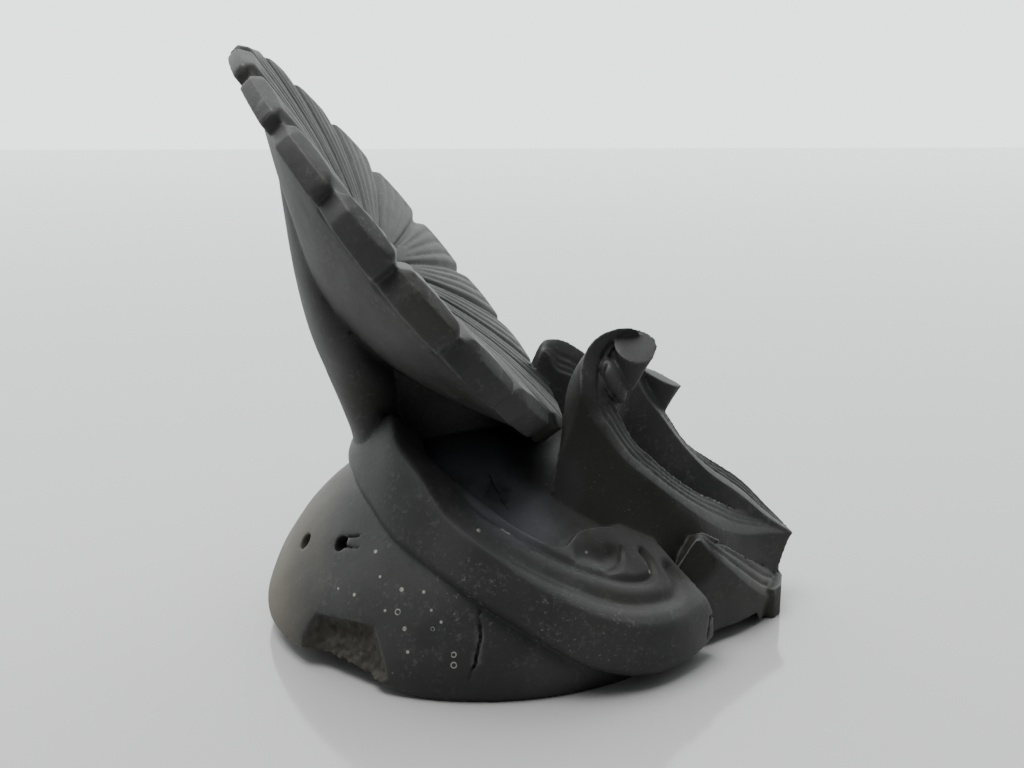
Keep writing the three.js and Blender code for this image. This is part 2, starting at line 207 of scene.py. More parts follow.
def curve_point(points, t):
    """A point at a share t of a smooth curve through points, by centripetal spacing."""
    points = np.asarray(points, float)
    p = (len(points) - 1) * t
    k = min(int(p), len(points) - 2)
    w = p - k
    p1, p2 = points[k], points[k + 1]
    p0 = points[k - 1] if k > 0 else 2 * p1 - p2
    p3 = points[k + 2] if k + 2 < len(points) else 2 * p2 - p1
    d0, d1, d2 = (max(np.linalg.norm(b - a), 1e-6) ** 0.5 for a, b in ((p0, p1), (p1, p2), (p2, p3)))
    m1 = ((p1 - p0) / d0 - (p2 - p0) / (d0 + d1) + (p2 - p1) / d1) * d1
    m2 = ((p2 - p1) / d1 - (p3 - p1) / (d1 + d2) + (p3 - p2) / d2) * d1
    return (p1 + m1 * w + (3 * (p2 - p1) - 2 * m1 - m2) * w * w
            + (2 * (p1 - p2) + m1 + m2) * w ** 3)


def even_shares(points, count):
    """Shares of a curve that divide its length evenly."""
    fine = np.linspace(0, 1, 240)
    way = np.array([curve_point(points, t) for t in fine])
    length = np.concatenate([[0], np.cumsum(np.linalg.norm(np.diff(way, axis=0), axis=1))])
    return np.interp(np.linspace(0, length[-1], count), length, fine)


# The hood

def hood(radius):
    """A dome about the hood's centre, tucked in a little at the rim."""
    bpy.ops.object.select_all(action='DESELECT')
    bpy.ops.mesh.primitive_uv_sphere_add(
        segments=160, ring_count=100, radius=radius * MM, location=(HOOD_X, 0, -HOOD_SINK * MM))
    thing = settle(bpy.context.object)
    for vertex in thing.data.vertices:
        low = min(max(0.0, 1 - vertex.co.z / MM / RIM_TUCK_HEIGHT), 1.0)
        out = Vector((vertex.co.x - HOOD_X, vertex.co.y, 0))
        vertex.co -= out.normalized() * RIM_TUCK * MM * low * low
    return thing


def under_rim():
    """All that lies under the rim, with its arches at the rear and the front."""
    reach = HOOD_RADIUS * 2
    outline = [(-reach, -reach), (-reach, REAR_ARCH["rise"])]
    for arch, first, last in ((REAR_ARCH, "full", "start"), (FRONT_ARCH, "start", "full")):
        for share in np.linspace(0, 1, ARCH_STEPS):
            x = mix(arch[first], arch[last], share)
            outline.append((x, arch["rise"] * smooth(x, arch["start"], arch["full"])))
    foot = FOOT_PLAN[0][0] * HOOD_RADIUS / 100 + FRONT_ARCH["rise"]
    outline.append((foot - FRONT_ARCH["rise"] / 2, FRONT_ARCH["rise"]))
    outline += [(foot, 0), (reach, 0), (reach, -reach)]
    return loft("under_rim", [[(x, y, z) for x, z in outline] for y in (-reach, reach)])


def wire_hole(bearing, height):
    middle = on_hood(bearing, height, HOOD_RADIUS - HOOD_WALL / 2)
    out = Vector(middle - on_hood(0, 0, 0))
    bpy.ops.object.select_all(action='DESELECT')
    bpy.ops.mesh.primitive_cylinder_add(
        vertices=40, radius=WIRE_BORE / 2 * MM, depth=HOOD_WALL * 3 * MM, location=in_frame(middle))
    hole = bpy.context.object
    hole.rotation_euler = out.to_track_quat('Z', 'Y').to_euler()
    return settle(hole)


def chip():
    corners = np.array([on_hood(b, h, HOOD_RADIUS) for b, h in CHIP_CORNERS])
    heart = corners.mean(0)
    rings = []
    for share, spread in CHIP_RINGS:
        rise = share * CHIP_DEPTH
        middle = heart * (1 + rise / np.linalg.norm(heart))
        ring = [mix(middle, on_hood(b, h, HOOD_RADIUS + rise), spread) for b, h in CHIP_CORNERS]
        rings.append(ring)
    return loft("chip", rings)


def prow_hollow():
    bpy.ops.object.select_all(action='DESELECT')
    bpy.ops.mesh.primitive_uv_sphere_add(segments=64, ring_count=40, radius=HOOD_RADIUS * MM)
    thing = bpy.context.object
    thing.scale = PROW_HOLLOW_SIZE
    thing.location = (HOOD_X + PROW_HOLLOW_X * HOOD_RADIUS * MM, 0, 0)
    return settle(thing)


# The flower

def petal_edge(uphill):
    return mix(PETAL_THICKNESS, PETAL_TOP_THICKNESS, uphill)


def flower():
    """Rings of points from the boss over the petals' faces, lips and ends to the middle of the calyx."""
    count = PETALS * PETAL_STEPS
    turn = np.arange(count) / PETAL_STEPS
    angle = np.radians(PETAL_PHASE + 360 / PETALS * turn)
    across = 2 * (turn % 1) - 1
    across = np.where(turn < PETALS / 2, across, -across)
    corner = np.maximum((-across - 1 + PETAL_UPPER_BEVEL) / PETAL_UPPER_BEVEL,
                        (across - 1 + PETAL_LOWER_BEVEL) / PETAL_LOWER_BEVEL)
    notch = PETAL_NOTCH * np.clip(corner, 0, 1)
    valley = smooth(np.abs(across), PETAL_VALLEY_START, 1)
    lines = sum(np.exp(-((across - line) / PETAL_LINE_WIDTH) ** 2) for line in PETAL_LINES)
    uphill = np.maximum(0, np.cos(angle))
    crown = 1 - across ** 2
    rings = []

    def ring(radius, height):
        radius = np.broadcast_to(radius, angle.shape)
        rings.append(np.stack([radius * np.cos(angle), radius * np.sin(angle), height], 1))

    for radius in (0.2, 0.5, 0.8, 0.95):
        dome = BOSS_RISE * (1 - BOSS_SAG * radius ** 2)
        ring(radius * BOSS_RADIUS, np.full(count, dome - CUP_DEPTH))
    inner = 1.03 * BOSS_RADIUS
    lip = FLOWER_RADIUS - PETAL_LIP_WIDTH * (0.2 + 0.8 * crown)
    for share in np.linspace(0, 1, 60):
        radius = mix(inner, lip, share)
        out = radius / FLOWER_RADIUS
        cup = -CUP_DEPTH * (1 - out) ** CUP_CURVE
        relief = PETAL_VALLEY * valley * (0.5 + 0.5 * out) + PETAL_PILLOW * (1 - crown) * out
        drawn = smooth(share, 0.05, 0.3) * (1 - smooth(share, 0.9, 1))
        relief = relief + PETAL_LINE_DEPTH * lines * drawn
        ring(radius - notch * out ** NOTCH_FADE, cup - relief)
    brim = rings[-1][:, 2]
    for share in np.linspace(0.1, 1, 8):
        radius = mix(lip, FLOWER_RADIUS, share)
        fall = mix(brim, np.minimum(brim - PETAL_END_SLOPE / 2, -PETAL_LIP), share)
        ring(radius - notch * (radius / FLOWER_RADIUS) ** NOTCH_FADE, fall)
    top = rings[-1][:, 2]
    foot = -petal_edge(uphill)
    for share in (0.12, 0.3, 0.5, 0.7, 0.88):
        ring(FLOWER_RADIUS - notch - PETAL_END_SLOPE / 2 * share, mix(top, foot, share))
    ring(FLOWER_RADIUS - notch - PETAL_END_SLOPE, foot)
    base = mix(CALYX_RADIUS, CALYX_TOP_RADIUS, uphill)
    for share in np.linspace(0.15, 1, 6):
        radius = mix(FLOWER_RADIUS - 2.0 - notch, 0.99 * base - 0.3 * notch, share)
        ring(radius, foot - CALYX_STEP * share)
    curve = mix(CALYX_CURVE, CALYX_TOP_CURVE, uphill)
    for share in np.linspace(0.97, 0.06, 26):
        depth = mix(CALYX_DEPTH, CALYX_TOP_DEPTH, uphill * share)
        ring(base * share, foot - CALYX_STEP - depth * (1 - share ** curve))
    tilt = math.radians(FLOWER_FACING)
    facing = np.array([math.cos(tilt), 0, math.sin(tilt)])
    up = np.array([-math.sin(tilt), 0, math.cos(tilt)])
    basis = np.stack([up, [0, -1, 0], facing])
    return loft("flower", np.array(rings) @ basis + [-FLOWER_BACK, 0, FLOWER_RISE])


# Stem, web, bands and waves, in hundredths of the hood's radius

def share_of_hood(points):
    return np.asarray(points, float) * HOOD_RADIUS / 100


# Each oval: the height, the back, the front and half the width
STEM_OVALS = [
    (62, -58, -28, 26), (80, -57, -32, 27), (93, -61, -36, 25), (108, -66.5, -36, 30),
    (122, -71.5, -40, 38), (135, -75.3, -42, 42), (150, -78.5, -46, 40), (166, -81, -54, 32),
    (182, -83.2, -68, 20), (196, -85, -78, 9),
]
WEB_OVALS = [
    (68, -50, 20, 13), (84, -48, 12, 12), (96, -46, 4, 13), (108, -46, -8, 17), (120, -46, -20, 20),
]


def upright_loft(name, ovals):
    points = 64
    angle = np.linspace(0, 2 * np.pi, points, endpoint=False)
    rings = []
    for t in np.linspace(0, 1, 6 * len(ovals)):
        height, back, front, half = curve_point(ovals, t)
        x = mix(back, front, 0.5 + 0.5 * np.cos(angle))
        rings.append(share_of_hood(np.stack([x, half * np.sin(angle), np.full(points, height)], 1)))
    return loft(name, rings)


# The band's edges by bearing, height and radius, and its front wall as shares of its rise and its bulge
BAND_LOWER = [
    (-200, 55, 100), (-163, 54.5, 100), (-139, 50.5, 101), (-121, 43.5, 101), (-106, 37.5, 101),
    (-94, 31, 102), (-80, 23, 103), (-66, 14.5, 104), (-54, 11, 106), (-42, 10.5, 106), (-33, 11, 106),
]
BAND_RIDGE = [
    (-200, 60, 109), (-169, 60, 110), (-147, 67, 121), (-130, 61.5, 117), (-115, 56, 114),
    (-104, 48.5, 112), (-94, 42.5, 112), (-80, 33, 113), (-67, 26, 114), (-52, 22, 114),
    (-36, 22.5, 114),
]
BAND_INNER = [
    (-200, 66, 106), (-165, 68, 108), (-140, 70, 109), (-126, 66, 106), (-112, 62.5, 104.5),
    (-101, 58, 104), (-90, 52, 104), (-79, 45.8, 103), (-69, 42, 103), (-61.5, 44.8, 103), (-36, 42, 102),
]
BAND_WALL = [(0, 0), (0.06, 0.75), (0.16, 1), (0.35, 1), (0.55, 0.9), (0.78, 0.62), (0.93, 0.25)]
BAND_PROUD = 5.0
BAND_SOLE = 0.92


def stream_band():
    """One band from the back of the hood round its side to the prow."""
    heart = on_hood(0, 0, 0)
    rings = []
    for t in np.linspace(0, 1, 90):
        edges = [curve_point(rail, t) for rail in (BAND_LOWER, BAND_RIDGE, BAND_INNER)]
        low, high, end = (on_hood(b, h, r * HOOD_RADIUS / 100) for b, h, r in edges)
        out = (high - heart) / np.linalg.norm(high - heart)
        ring = []
        for share in np.linspace(0, 1, 18):
            up, proud = curve_point(BAND_WALL, share)
            ring.append(mix(low, high, up) + proud * BAND_PROUD * out)
        ring += [mix(high, end, share) for share in np.linspace(0.05, 1, 14)]
        ring += [heart + (edge - heart) / np.linalg.norm(edge - heart) * HOOD_RADIUS * BAND_SOLE
                 for edge in (end, low)]
        rings.append(ring)
    return loft("band", rings)


# Each wave's top runs between its outer and inner edges, and its walls go down to the two feet
NEAR_WAVE = {
    "outer": [
        (66, -26, 126), (59, -30, 131), (51, -31, 130.6), (43, -32, 126.5), (38, -36, 119),
        (37, -41, 110), (40, -41, 99), (46, -41, 90), (56, -41, 78), (68, -41, 68), (84, -36, 55),
        (98, -28, 44), (112, -18, 37), (125, -10, 34), (137, -4, 32)],
    "inner": [
        (65, -24, 124), (61, -26, 126), (58, -27, 124), (56, -27, 119), (55, -27, 113), (54, -28, 108),
        (52, -29, 102), (55, -30, 95), (61, -30, 84), (72, -30, 73), (88, -24, 60), (102, -13, 51),
        (113, -7, 44), (125, -4, 39), (137, -3, 32)],
    "inner_foot": [
        (61, -21, 121), (57, -21, 123), (52, -20, 122), (46, -18, 114), (42, -20, 98), (41, -24, 78),
        (43, -25, 62), (48, -25, 56), (57, -24, 50), (70, -22, 44), (86, -20, 38), (102, -16, 33),
        (112, -10, 29), (122, -5, 26), (130, -3, 24)],
    "outer_foot": [
        (62, -22, 124), (58, -22, 127), (50, -20, 126), (42, -20, 120), (34, -24, 108), (29, -42, 90),
        (25, -53, 64), (33, -59, 51), (50, -59, 42), (66, -51, 40), (86, -43, 31), (101, -36, 24),
        (111, -27, 21), (122, -15, 17), (130, -8, 14)],
}
MIDDLE_WAVE = {
    "outer": [
        (60, -4, 100), (66, -5, 109), (66, -5, 103), (70, -5, 96), (77, -5, 87), (86, -5, 75),
        (98, -5, 62), (113, -5, 51), (126, -5, 40), (138, -4, 32)],
    "inner": [
        (61, 4, 100), (68, 4, 108), (71, 4, 101), (75, 4, 95), (81, 4, 86), (90, 4, 73), (103, 9, 63),
        (117, 11, 53), (129, 9, 41), (138, 4, 32)],
    "inner_foot": [
        (50, 12, 58), (54, 13, 56), (60, 14, 54), (68, 14, 50), (76, 14, 46), (88, 14, 40),
        (102, 14, 35), (115, 13, 30), (124, 9, 26), (131, 4, 22)],
    "outer_foot": [
        (50, -14, 58), (54, -14, 56), (60, -14, 54), (68, -14, 50), (76, -14, 46), (88, -13, 40),
        (102, -12, 35), (115, -10, 30), (124, -8, 26), (131, -6, 22)],
}
FAR_WAVE = {
    "outer": [
        (21, 34, 97), (24, 34, 106), (29, 34, 114), (37, 34, 114), (46, 34, 109), (56, 35, 98),
        (67, 36, 85), (84, 36, 66), (98, 28, 51), (112, 18, 42), (125, 10, 36), (137, 4, 32)],
    "inner": [
        (24, 28, 98), (25, 28, 105), (28, 28, 111), (34, 27, 101), (41, 27, 98), (50, 27, 90),
        (60, 27, 80), (79, 26, 65), (97, 19, 50), (112, 12, 40), (125, 6, 36), (137, 3, 32)],
    "inner_foot": [
        (30, 24, 62), (33, 24, 60), (36, 24, 58), (40, 24, 56), (44, 24, 54), (50, 24, 52),
        (60, 24, 48), (78, 22, 42), (96, 17, 35), (110, 10, 29), (122, 5, 26), (130, 3, 24)],
    "outer_foot": [
        (25, 52, 66), (28, 54, 62), (32, 56, 58), (38, 57, 54), (44, 57, 51), (52, 55, 48),
        (64, 51, 41), (84, 43, 32), (100, 36, 25), (111, 27, 21), (122, 15, 17), (130, 8, 14)],
}
SIDE_WAVE = {
    "outer": [
        (72, -54, 30), (79, -51, 40), (85, -48, 46), (91, -46, 39), (98, -44, 33), (105, -41, 26),
        (112, -36, 19), (119, -30, 13), (126, -20, 9)],
    "inner": [
        (74, -40, 32), (80, -40, 42), (87, -41, 47), (94, -39, 44), (100, -35, 39), (107, -30, 34),
        (114, -24, 28), (121, -17, 22), (128, -9, 16)],
    "inner_foot": [
        (76, -24, 2), (82, -24, 2), (88, -24, 2), (94, -22, 2), (100, -20, 2), (106, -18, 2),
        (112, -14, 2), (118, -10, 2), (124, -6, 3)],
    "outer_foot": [
        (74, -56, 2), (81, -55, 1), (87, -53, 0), (92, -51, 0), (97, -47, 0), (103, -43, 0),
        (110, -37, 0), (117, -30, 1), (125, -18, 3)],
}
WAVE_SCOOP = 0.16
WAVE_RINGS = 130
# The grooves along a wave's top: their places and width as shares of it, and the depth in millimetres
WAVE_GROOVES = (0.48, 0.68, 0.86)
WAVE_GROOVE_DEPTH = 2.2
SIDE_GROOVES = (0.4, 0.72)
SIDE_GROOVE_DEPTH = 1.8
GROOVE_WIDTH = 0.045
GROOVE_FROM_WIDTH = 3
GROOVE_FULL_WIDTH = 7


def scooped(start, end, aside):
    """The points between a wall's two edges, drawn in towards the wave's far edge."""
    points = []
    for share in np.linspace(0, 1, 9)[1:-1]:
        points.append(mix(mix(start, end, share), aside, WAVE_SCOOP * share * (1 - share)))
    return points


def wave(name, rails, grooves=WAVE_GROOVES, depth=WAVE_GROOVE_DEPTH):
    edges = [rails[key] for key in ("outer", "inner", "inner_foot", "outer_foot")]
    rings = []
    for t in even_shares(rails["outer"], WAVE_RINGS):
        a, b, c, d = (share_of_hood(curve_point(edge, t)) for edge in edges)
        wide = np.linalg.norm(b - a)
        down = c - b + d - a
        down /= np.linalg.norm(down)
        ring = []
        for share in np.linspace(0, 1, 34):
            dip = sum(np.exp(-((share - at) / GROOVE_WIDTH) ** 2) for at in grooves) * depth
            dip *= smooth(wide, GROOVE_FROM_WIDTH, GROOVE_FULL_WIDTH)
            ring.append(mix(a, b, share) + dip * down)
        ring += scooped(b, c, a) + [c, d] + scooped(d, a, b)
        rings.append(ring)
    return loft(name, rings)


HORNS = [
    {"foot": (57, -32, 100), "top": (60, -31, 124), "wide": 8.6, "deep": 7.4, "slant": (-0.12, 0.78)},
    {"foot": (77, 4, 80), "top": (78, 6, 102.5), "wide": 8.5, "deep": 6, "slant": (-0.5, 0.12)},
]
HORN_CORNER = {"reach": 0.16, "bearing": 20, "spread": 28}


def horn(foot, top, wide, deep, slant):
    """A cone that widens from a buried foot to its cut face."""
    angle = np.linspace(0, 2 * np.pi, 72, endpoint=False)
    away = (np.degrees(angle) - HORN_CORNER["bearing"]) / HORN_CORNER["spread"]
    reach = 1 + HORN_CORNER["reach"] * np.exp(-away ** 2)
    rings = []
    for t in np.linspace(0.25, 1, 16):
        x = wide * t * reach * np.cos(angle)
        y = deep * t * reach * np.sin(angle)
        lift = t * (slant[0] * x + slant[1] * y)
        middle = mix(np.array(foot, float), np.array(top, float), t)
        rings.append(share_of_hood(middle + np.stack([x, y, lift], 1)))
    return loft("horn", rings)


LEAVES = [
    {"middle": (51.5, -31, 109), "size": (4.6, 6, 10)},
    {"middle": (56, -27.5, 113), "size": (4, 5, 9)},
]
LEAF_LEAN = 22


def leaf(middle, size):
    """A small bud between a crest and its horn."""
    bpy.ops.object.select_all(action='DESELECT')
    bpy.ops.mesh.primitive_uv_sphere_add(segments=40, ring_count=28, radius=HOOD_RADIUS / 100 * MM)
    thing = bpy.context.object
    thing.scale = size
    thing.rotation_euler = (0, math.radians(-LEAF_LEAN), 0)
    thing.location = in_frame(share_of_hood(middle))
    return settle(thing)


PROW_PLAN = [(30, 50, 58), (60, 46, 48), (88, 37, 38), (104, 28, 30), (120, 14, 28), (132, 5, 28)]
PROW_SOLE = 12
FOOT_PLAN = [(112, 22), (125, 24.5), (129, 20), (133, 7)]
FOOT_SOLE = -1
FOOT_TOP = 14


def prism_between(name, outline, bottom):
    plan = [(x, -y, top) for x, y, top in outline] + [(x, y, top) for x, y, top in reversed(outline)]
    low = [share_of_hood((x, y, bottom)) for x, y, top in plan]
    high = [share_of_hood((x, y, top)) for x, y, top in plan]
    return loft(name, [low, high])


def mirrored(thing):
    """The same solid on the tile's far side."""
    only(thing)
    bpy.ops.object.duplicate()
    other = bpy.context.object
    other.scale = (1, -1, 1)
    return face_outward(settle(other))


def cut(body, tool, operation):
    apply_modifier(body, 'BOOLEAN', object=tool, operation=operation, solver='MANIFOLD')
    bpy.data.objects.remove(tool)


def tile():
    """The whole tile as one closed mesh, before its finish."""
    body = hood(HOOD_RADIUS)
    band = stream_band()
    side = wave("side_wave", SIDE_WAVE, SIDE_GROOVES, SIDE_GROOVE_DEPTH)
    added = [
        flower(), upright_loft("stem", STEM_OVALS), upright_loft("web", WEB_OVALS),
        mirrored(band), band, mirrored(side), side,
        prism_between("prow", PROW_PLAN, PROW_SOLE),
        prism_between("foot", [(x, y, FOOT_TOP) for x, y in FOOT_PLAN], FOOT_SOLE),
        wave("near_wave", NEAR_WAVE), wave("middle_wave", MIDDLE_WAVE), wave("far_wave", FAR_WAVE),
        *(leaf(**size) for size in LEAVES), *(horn(**size) for size in HORNS),
    ]
    removed = [
        hood(HOOD_RADIUS - HOOD_WALL), prow_hollow(), under_rim(), chip(),
        *(wire_hole(b, h) for b, h in WIRE_HOLES),
    ]
    for tool in added:
        cut(body, tool, 'UNION')
    for tool in removed:
        cut(body, tool, 'DIFFERENCE')
    body.name = body.data.name = "smoked_clay_tile"
    return body


# Wear and carving on the joined mesh, in millimetres

def lumps(points, size, seed):
    """Soft noise from -1 to 1 with lumps of a given size."""
    side = 24
    lattice = np.random.default_rng(seed).uniform(-1, 1, (side, side, side))
    place = points / size
    cell = np.floor(place).astype(int)
    part = place - cell
    part = part * part * (3 - 2 * part)
    total = 0
    for corner in np.ndindex(2, 2, 2):
        weight = np.prod([part[:, k] if corner[k] else 1 - part[:, k] for k in range(3)], axis=0)
        x, y, z = ((cell[:, k] + corner[k]) % side for k in range(3))
        total = total + weight * lattice[x, y, z]
    return total


def softened(points, edges, degree, rounds):
    """Points drawn to the mean of their neighbours, round after round."""
    for _ in range(rounds):
        total = np.zeros_like(points)
        np.add.at(total, edges[:, 0], points[edges[:, 1]])
        np.add.at(total, edges[:, 1], points[edges[:, 0]])
        points = total / degree[:, None]
    return points


def distance_to_path(points, path):
    """Distance from each point to a run of straight pieces, and how far along it."""
    best = np.full(len(points), 1e9)
    along = np.zeros(len(points))
    walked = 0.0
    for start, end in zip(path[:-1], path[1:]):
        step = end - start
        length = np.linalg.norm(step)
        t = np.clip((points - start) @ step / length ** 2, 0, 1)
        gap = np.linalg.norm(points - start - t[:, None] * step, axis=1)
        nearer = gap < best
        best = np.where(nearer, gap, best)
        along = np.where(nearer, walked + t * length, along)
        walked += length
    return best, along / walked


def smooth_path(points):
    return np.array([curve_point(points, t) for t in np.linspace(0, 1, 40)])


def hood_path(*places):
    return np.array([on_hood(b, h, HOOD_RADIUS) for b, h in places])


# Cracks: the path, the width and depth in millimetres
CRACKS = [
    (hood_path((-93.7, 30.5), (-93.6, 23.6), (-94.7, 18.4), (-96, 15.3), (-94.6, 12), (-95, 8.5)),
     0.5, 2.6),
    (hood_path((-143, 40.6), (-137.8, 41.9), (-134.6, 43.1)), 0.55, 1.6),
    (hood_path((-142, 39.2), (-136, 39.4), (-132.4, 40.2)), 0.55, 1.4),
    (hood_path((-91, 66), (-88.5, 61.5), (-84.5, 54.6), (-82, 51)), 0.4, 0.7),
    (hood_path((-88.5, 61.5), (-90, 59.5), (-93, 56.5)), 0.35, 0.5),
    (np.array([(97.9, -48.1, 51.2), (106, -45.5, 46.6), (110.4, -41, 45.5), (118.2, -36, 40),
               (126, -30, 33.5), (135.6, -19, 25.5), (141.2, -13.6, 22.3)]), 0.7, 2.2),
    (np.array([(100.5, -56, 27), (103, -58, 20), (99, -72, 21), (97.3, -74.5, 11)]), 0.7, 2.2),
    (np.array([(-73, -44.6, 165.8), (-68.5, -47, 160), (-64, -46, 153), (-57, -43, 146.4)]), 0.6, 1.2),
    (np.array([(34, -33, 85), (37, -42, 80.6), (38.5, -56, 78.6)]), 0.5, 0.9),
    (np.array([(55, -38, 133), (53.3, -38, 129), (54, -39, 122.8), (57.7, -39, 117.5), (61.5, -38, 115)]),
     0.7, 2.4),
]
CRACK_MARGIN = 5
CRACK_WANDER = 0.55
# The grooves of the band's top: the path by bearing and height, the width and depth in millimetres
BAND_GROOVES = [
    ([(-99, 47.6), (-93.7, 44.9), (-88.4, 42.3), (-83.5, 39.3), (-78.8, 36.9), (-74.3, 34.5), (-69.9, 32.2),
      (-65.4, 29.9), (-58.1, 27), (-49.3, 25.3), (-44, 25.2), (-40.5, 27.5), (-39.5, 30.5)], 3.0, 2.3),
    ([(-106.6, 58.4), (-99.5, 54.4), (-94, 51.2), (-87.7, 48.2), (-82, 45.4), (-76.8, 42.4), (-71.9, 39.5),
      (-67.1, 36.7), (-62.2, 34.2), (-57, 32), (-51, 30.4), (-46.6, 30.6), (-44.5, 33), (-44.5, 36)],
     2.0, 2.0),
    ([(-68, 39.6), (-63, 38.8), (-58.5, 37), (-55.5, 37.6)], 5.0, 2.6),
    ([(-50.7, 39.5), (-51.6, 37.4), (-53.1, 36), (-56, 34.6), (-58.9, 34.4)], 1.2, 1.0),
]
# The grooves are measured on a sphere of this share of the hood's radius
BAND_SHELL = 1.08
CHIP_ROUGHNESS = 0.78
UNEVENNESS = 0.45
# The broken place on the hood above the band: bearing and height, its reach and its depth
BROKEN_PATCH = ((-88, 58), 9.0, 1.6)


def carved(points, normals):
    """How far the surface sinks at each point, and masks of what shows there."""
    sink = np.zeros(len(points))
    crack = np.zeros(len(points))
    for path, width, depth in CRACKS:
        inside = (points > path.min(0) - CRACK_MARGIN) & (points < path.max(0) + CRACK_MARGIN)
        near = np.all(inside, axis=1)
        local = points[near]
        wander = CRACK_WANDER * np.stack([lumps(local, 3.0, seed) for seed in (1, 2, 3)], 1)
        gap, along = distance_to_path(local + wander, path)
        line = np.exp(-(gap / width) ** 2) * smooth(along, -0.05, 0.12) * smooth(along, 1.02, 0.8)
        sink[near] += depth * line
        crack[near] = np.maximum(crack[near], line)

    from_heart = points - on_hood(0, 0, 0)
    radius = np.linalg.norm(from_heart, axis=1)
    outward = (normals * from_heart).sum(1) / radius
    shell = BAND_SHELL * HOOD_RADIUS
    flat = from_heart / radius[:, None] * shell + on_hood(0, 0, 0)
    top = smooth(radius, 1.0 * HOOD_RADIUS, 1.03 * HOOD_RADIUS) * smooth(outward, 0.45, 0.75)
    for side in (1, -1):
        near = (points[:, 1] * side < 0) & (top > 0)
        for places, width, depth in BAND_GROOVES:
            path = smooth_path([on_hood(b, h, shell) for b, h in places]) * [1, side, 1]
            gap, along = distance_to_path(flat[near], path)
            groove = depth * np.exp(-(gap / width) ** 2) * smooth(along, -0.02, 0.2)
            sink[near] += top[near] * groove

    corners = np.array([on_hood(b, h, HOOD_RADIUS - CHIP_DEPTH) for b, h in CHIP_CORNERS])
    middle = corners.mean(0)
    reach = np.linalg.norm(corners - middle, axis=1).max()
    chipped = smooth(np.linalg.norm(points - middle, axis=1), reach, reach - 4)
    chipped = chipped * smooth(radius, HOOD_RADIUS - 1.0, HOOD_RADIUS - 2.2)
    chipped = chipped * smooth(radius, HOOD_RADIUS - HOOD_WALL + 1, HOOD_RADIUS - HOOD_WALL + 3)
    rough = lumps(points, 2.6, 7) + 0.6 * lumps(points, 1.3, 8)
    sink += CHIP_ROUGHNESS * chipped * rough

    (bearing, height), reach, depth = BROKEN_PATCH
    gap = np.linalg.norm(points - on_hood(bearing, height, HOOD_RADIUS), axis=1)
    broken = smooth(gap + 4 * lumps(points, 6.0, 9), reach, reach * 0.4)
    sink += depth * broken * np.maximum(lumps(points, 3.5, 10), 0)

    sink += UNEVENNESS * (0.65 * lumps(points, 34.0, 11) + 0.35 * lumps(points, 11.0, 12))
    return sink, {"crack": crack, "chipped": chipped, "broken": broken}


def vertex_places(mesh):
    places = np.empty(len(mesh.vertices) * 3)
    mesh.vertices.foreach_get("co", places)
    return places.reshape(-1, 3)


def place_vertices(mesh, places):
    """Moves the vertices, and keeps them inside the tile's outline box."""
    low, high = (np.array(corner) for corner in cad_box)
    mesh.vertices.foreach_set("co", np.clip(places, low, high).ravel())
    mesh.update()


def finish_surface(body):
    """Remeshes and smooths the joined tile, carves it, marks its convex edges for wear and painted
    highlight and its grooves for painted shade, and thins the mesh.
    """
    apply_modifier(body, 'REMESH', mode='VOXEL', voxel_size=VOXEL * MM, adaptivity=0.0)
    apply_modifier(body, 'SMOOTH', factor=0.5, iterations=1)
    mesh = body.data
    count = len(mesh.vertices)
    points = (vertex_places(mesh) - [HOOD_X, 0, 0]) / MM
    normals = np.empty(count * 3)
    mesh.vertex_normals.foreach_get("vector", normals)
    normals = normals.reshape(-1, 3)
    edges = np.empty(len(mesh.edges) * 2, int)
    mesh.edges.foreach_get("vertices", edges)
    edges = edges.reshape(-1, 2)
    degree = np.bincount(edges.ravel(), minlength=count).astype(float)

    sink, masks = carved(points, normals)
    points = points - normals * sink[:, None]
    soft = softened(points, edges, degree, int(FINE_SOFTNESS / VOXEL))
    convex = ((points - soft) * normals).sum(1)
    soft = softened(soft, edges, degree, int(BROAD_SOFTNESS / VOXEL))
    broad = ((points - soft) * normals).sum(1)
    # Convex edges, for edge wear and a painted highlight
    masks["worn_and_highlight"] = smooth(convex, *WORN_EDGE_AND_HIGHLIGHT)
    # Narrow grooves, to be darkened as painted shade
    masks["deep"] = smooth(-convex, *SHADED_GROOVE)
    masks["hollow"] = smooth(-broad, *BROAD_HOLLOW)

    place_vertices(mesh, in_frame(points))
    triangles = sum(len(face.vertices) - 2 for face in mesh.polygons)
    if triangles > TRIANGLES:
        apply_modifier(body, 'DECIMATE', ratio=TRIANGLES / triangles)
    place_vertices(mesh, vertex_places(mesh))
    only(body)
    bpy.ops.object.shade_smooth()

    tree = KDTree(count)
    for index, point in enumerate(in_frame(points)):
        tree.insert(point, index)
    tree.balance()
    nearest = [tree.find(vertex.co)[1] for vertex in mesh.vertices]
    for name, values in masks.items():
        attribute = mesh.attributes.new(name, 'FLOAT', 'POINT')
        attribute.data.foreach_set("value", values[nearest].astype(np.float32))


# Materials

CHARCOAL = (0.026, 0.027, 0.026, 1)
SLATE = (0.043, 0.044, 0.042, 1)
OLIVE = (0.039, 0.036, 0.027, 1)
BLUE = (0.062, 0.065, 0.075, 1)
# Pale worn clay, also used as a painted highlight on edges
WORN_AND_HIGHLIGHT = (0.105, 0.106, 0.100, 1)
# Soot for cracks and the broken place, and painted shade in grooves
SOOT_AND_SHADE = (0.009, 0.009, 0.009, 1)
# Painted shade: a dark brown laid where shade falls, under and in front of the flower and on the near wave
# wall
PAINTED_SHADE = (0.0105, 0.010, 0.0085, 1)
LIME = (0.30, 0.30, 0.27, 1)
TAN = (0.105, 0.092, 0.066, 1)
BROKEN = (0.046, 0.042, 0.034, 1)
SPECULAR = 0.3

